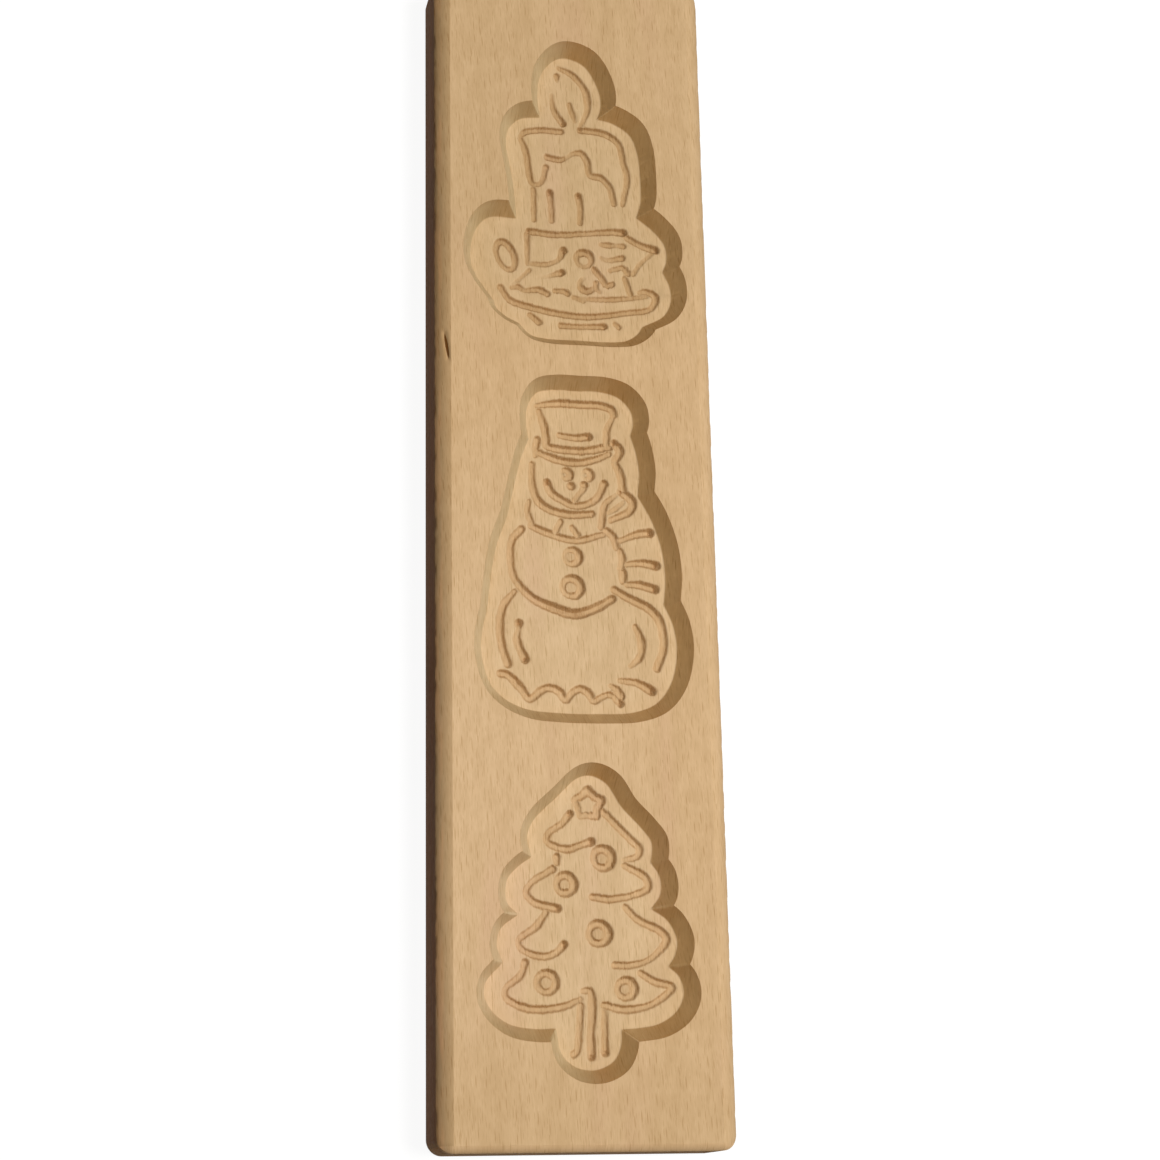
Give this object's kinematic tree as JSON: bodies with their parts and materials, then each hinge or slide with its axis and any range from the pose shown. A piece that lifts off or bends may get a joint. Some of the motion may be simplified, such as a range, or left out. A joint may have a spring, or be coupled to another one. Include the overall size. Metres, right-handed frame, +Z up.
{
  "type": "cookie mould",
  "caption": "Long wooden board with rounded edges and festive figures cut into its face as flat-floored cavities, for pressing and shaping cookie dough.",
  "frame": {"origin": "middle of the board's flat back, on the surface it rests on", "axes": "+X across the board, to the right of the upright figures; +Y along the board towards the candle's end; +Z up out of the carved face"},
  "size_m": [0.075, 0.32, 0.02],
  "materials": {
    "beech": "planed and sanded, unvarnished, with short ray flecks along the board"
  },
  "bodies": {
    "root": {"mould_board": "beech"}
  },
  "joints": []
}
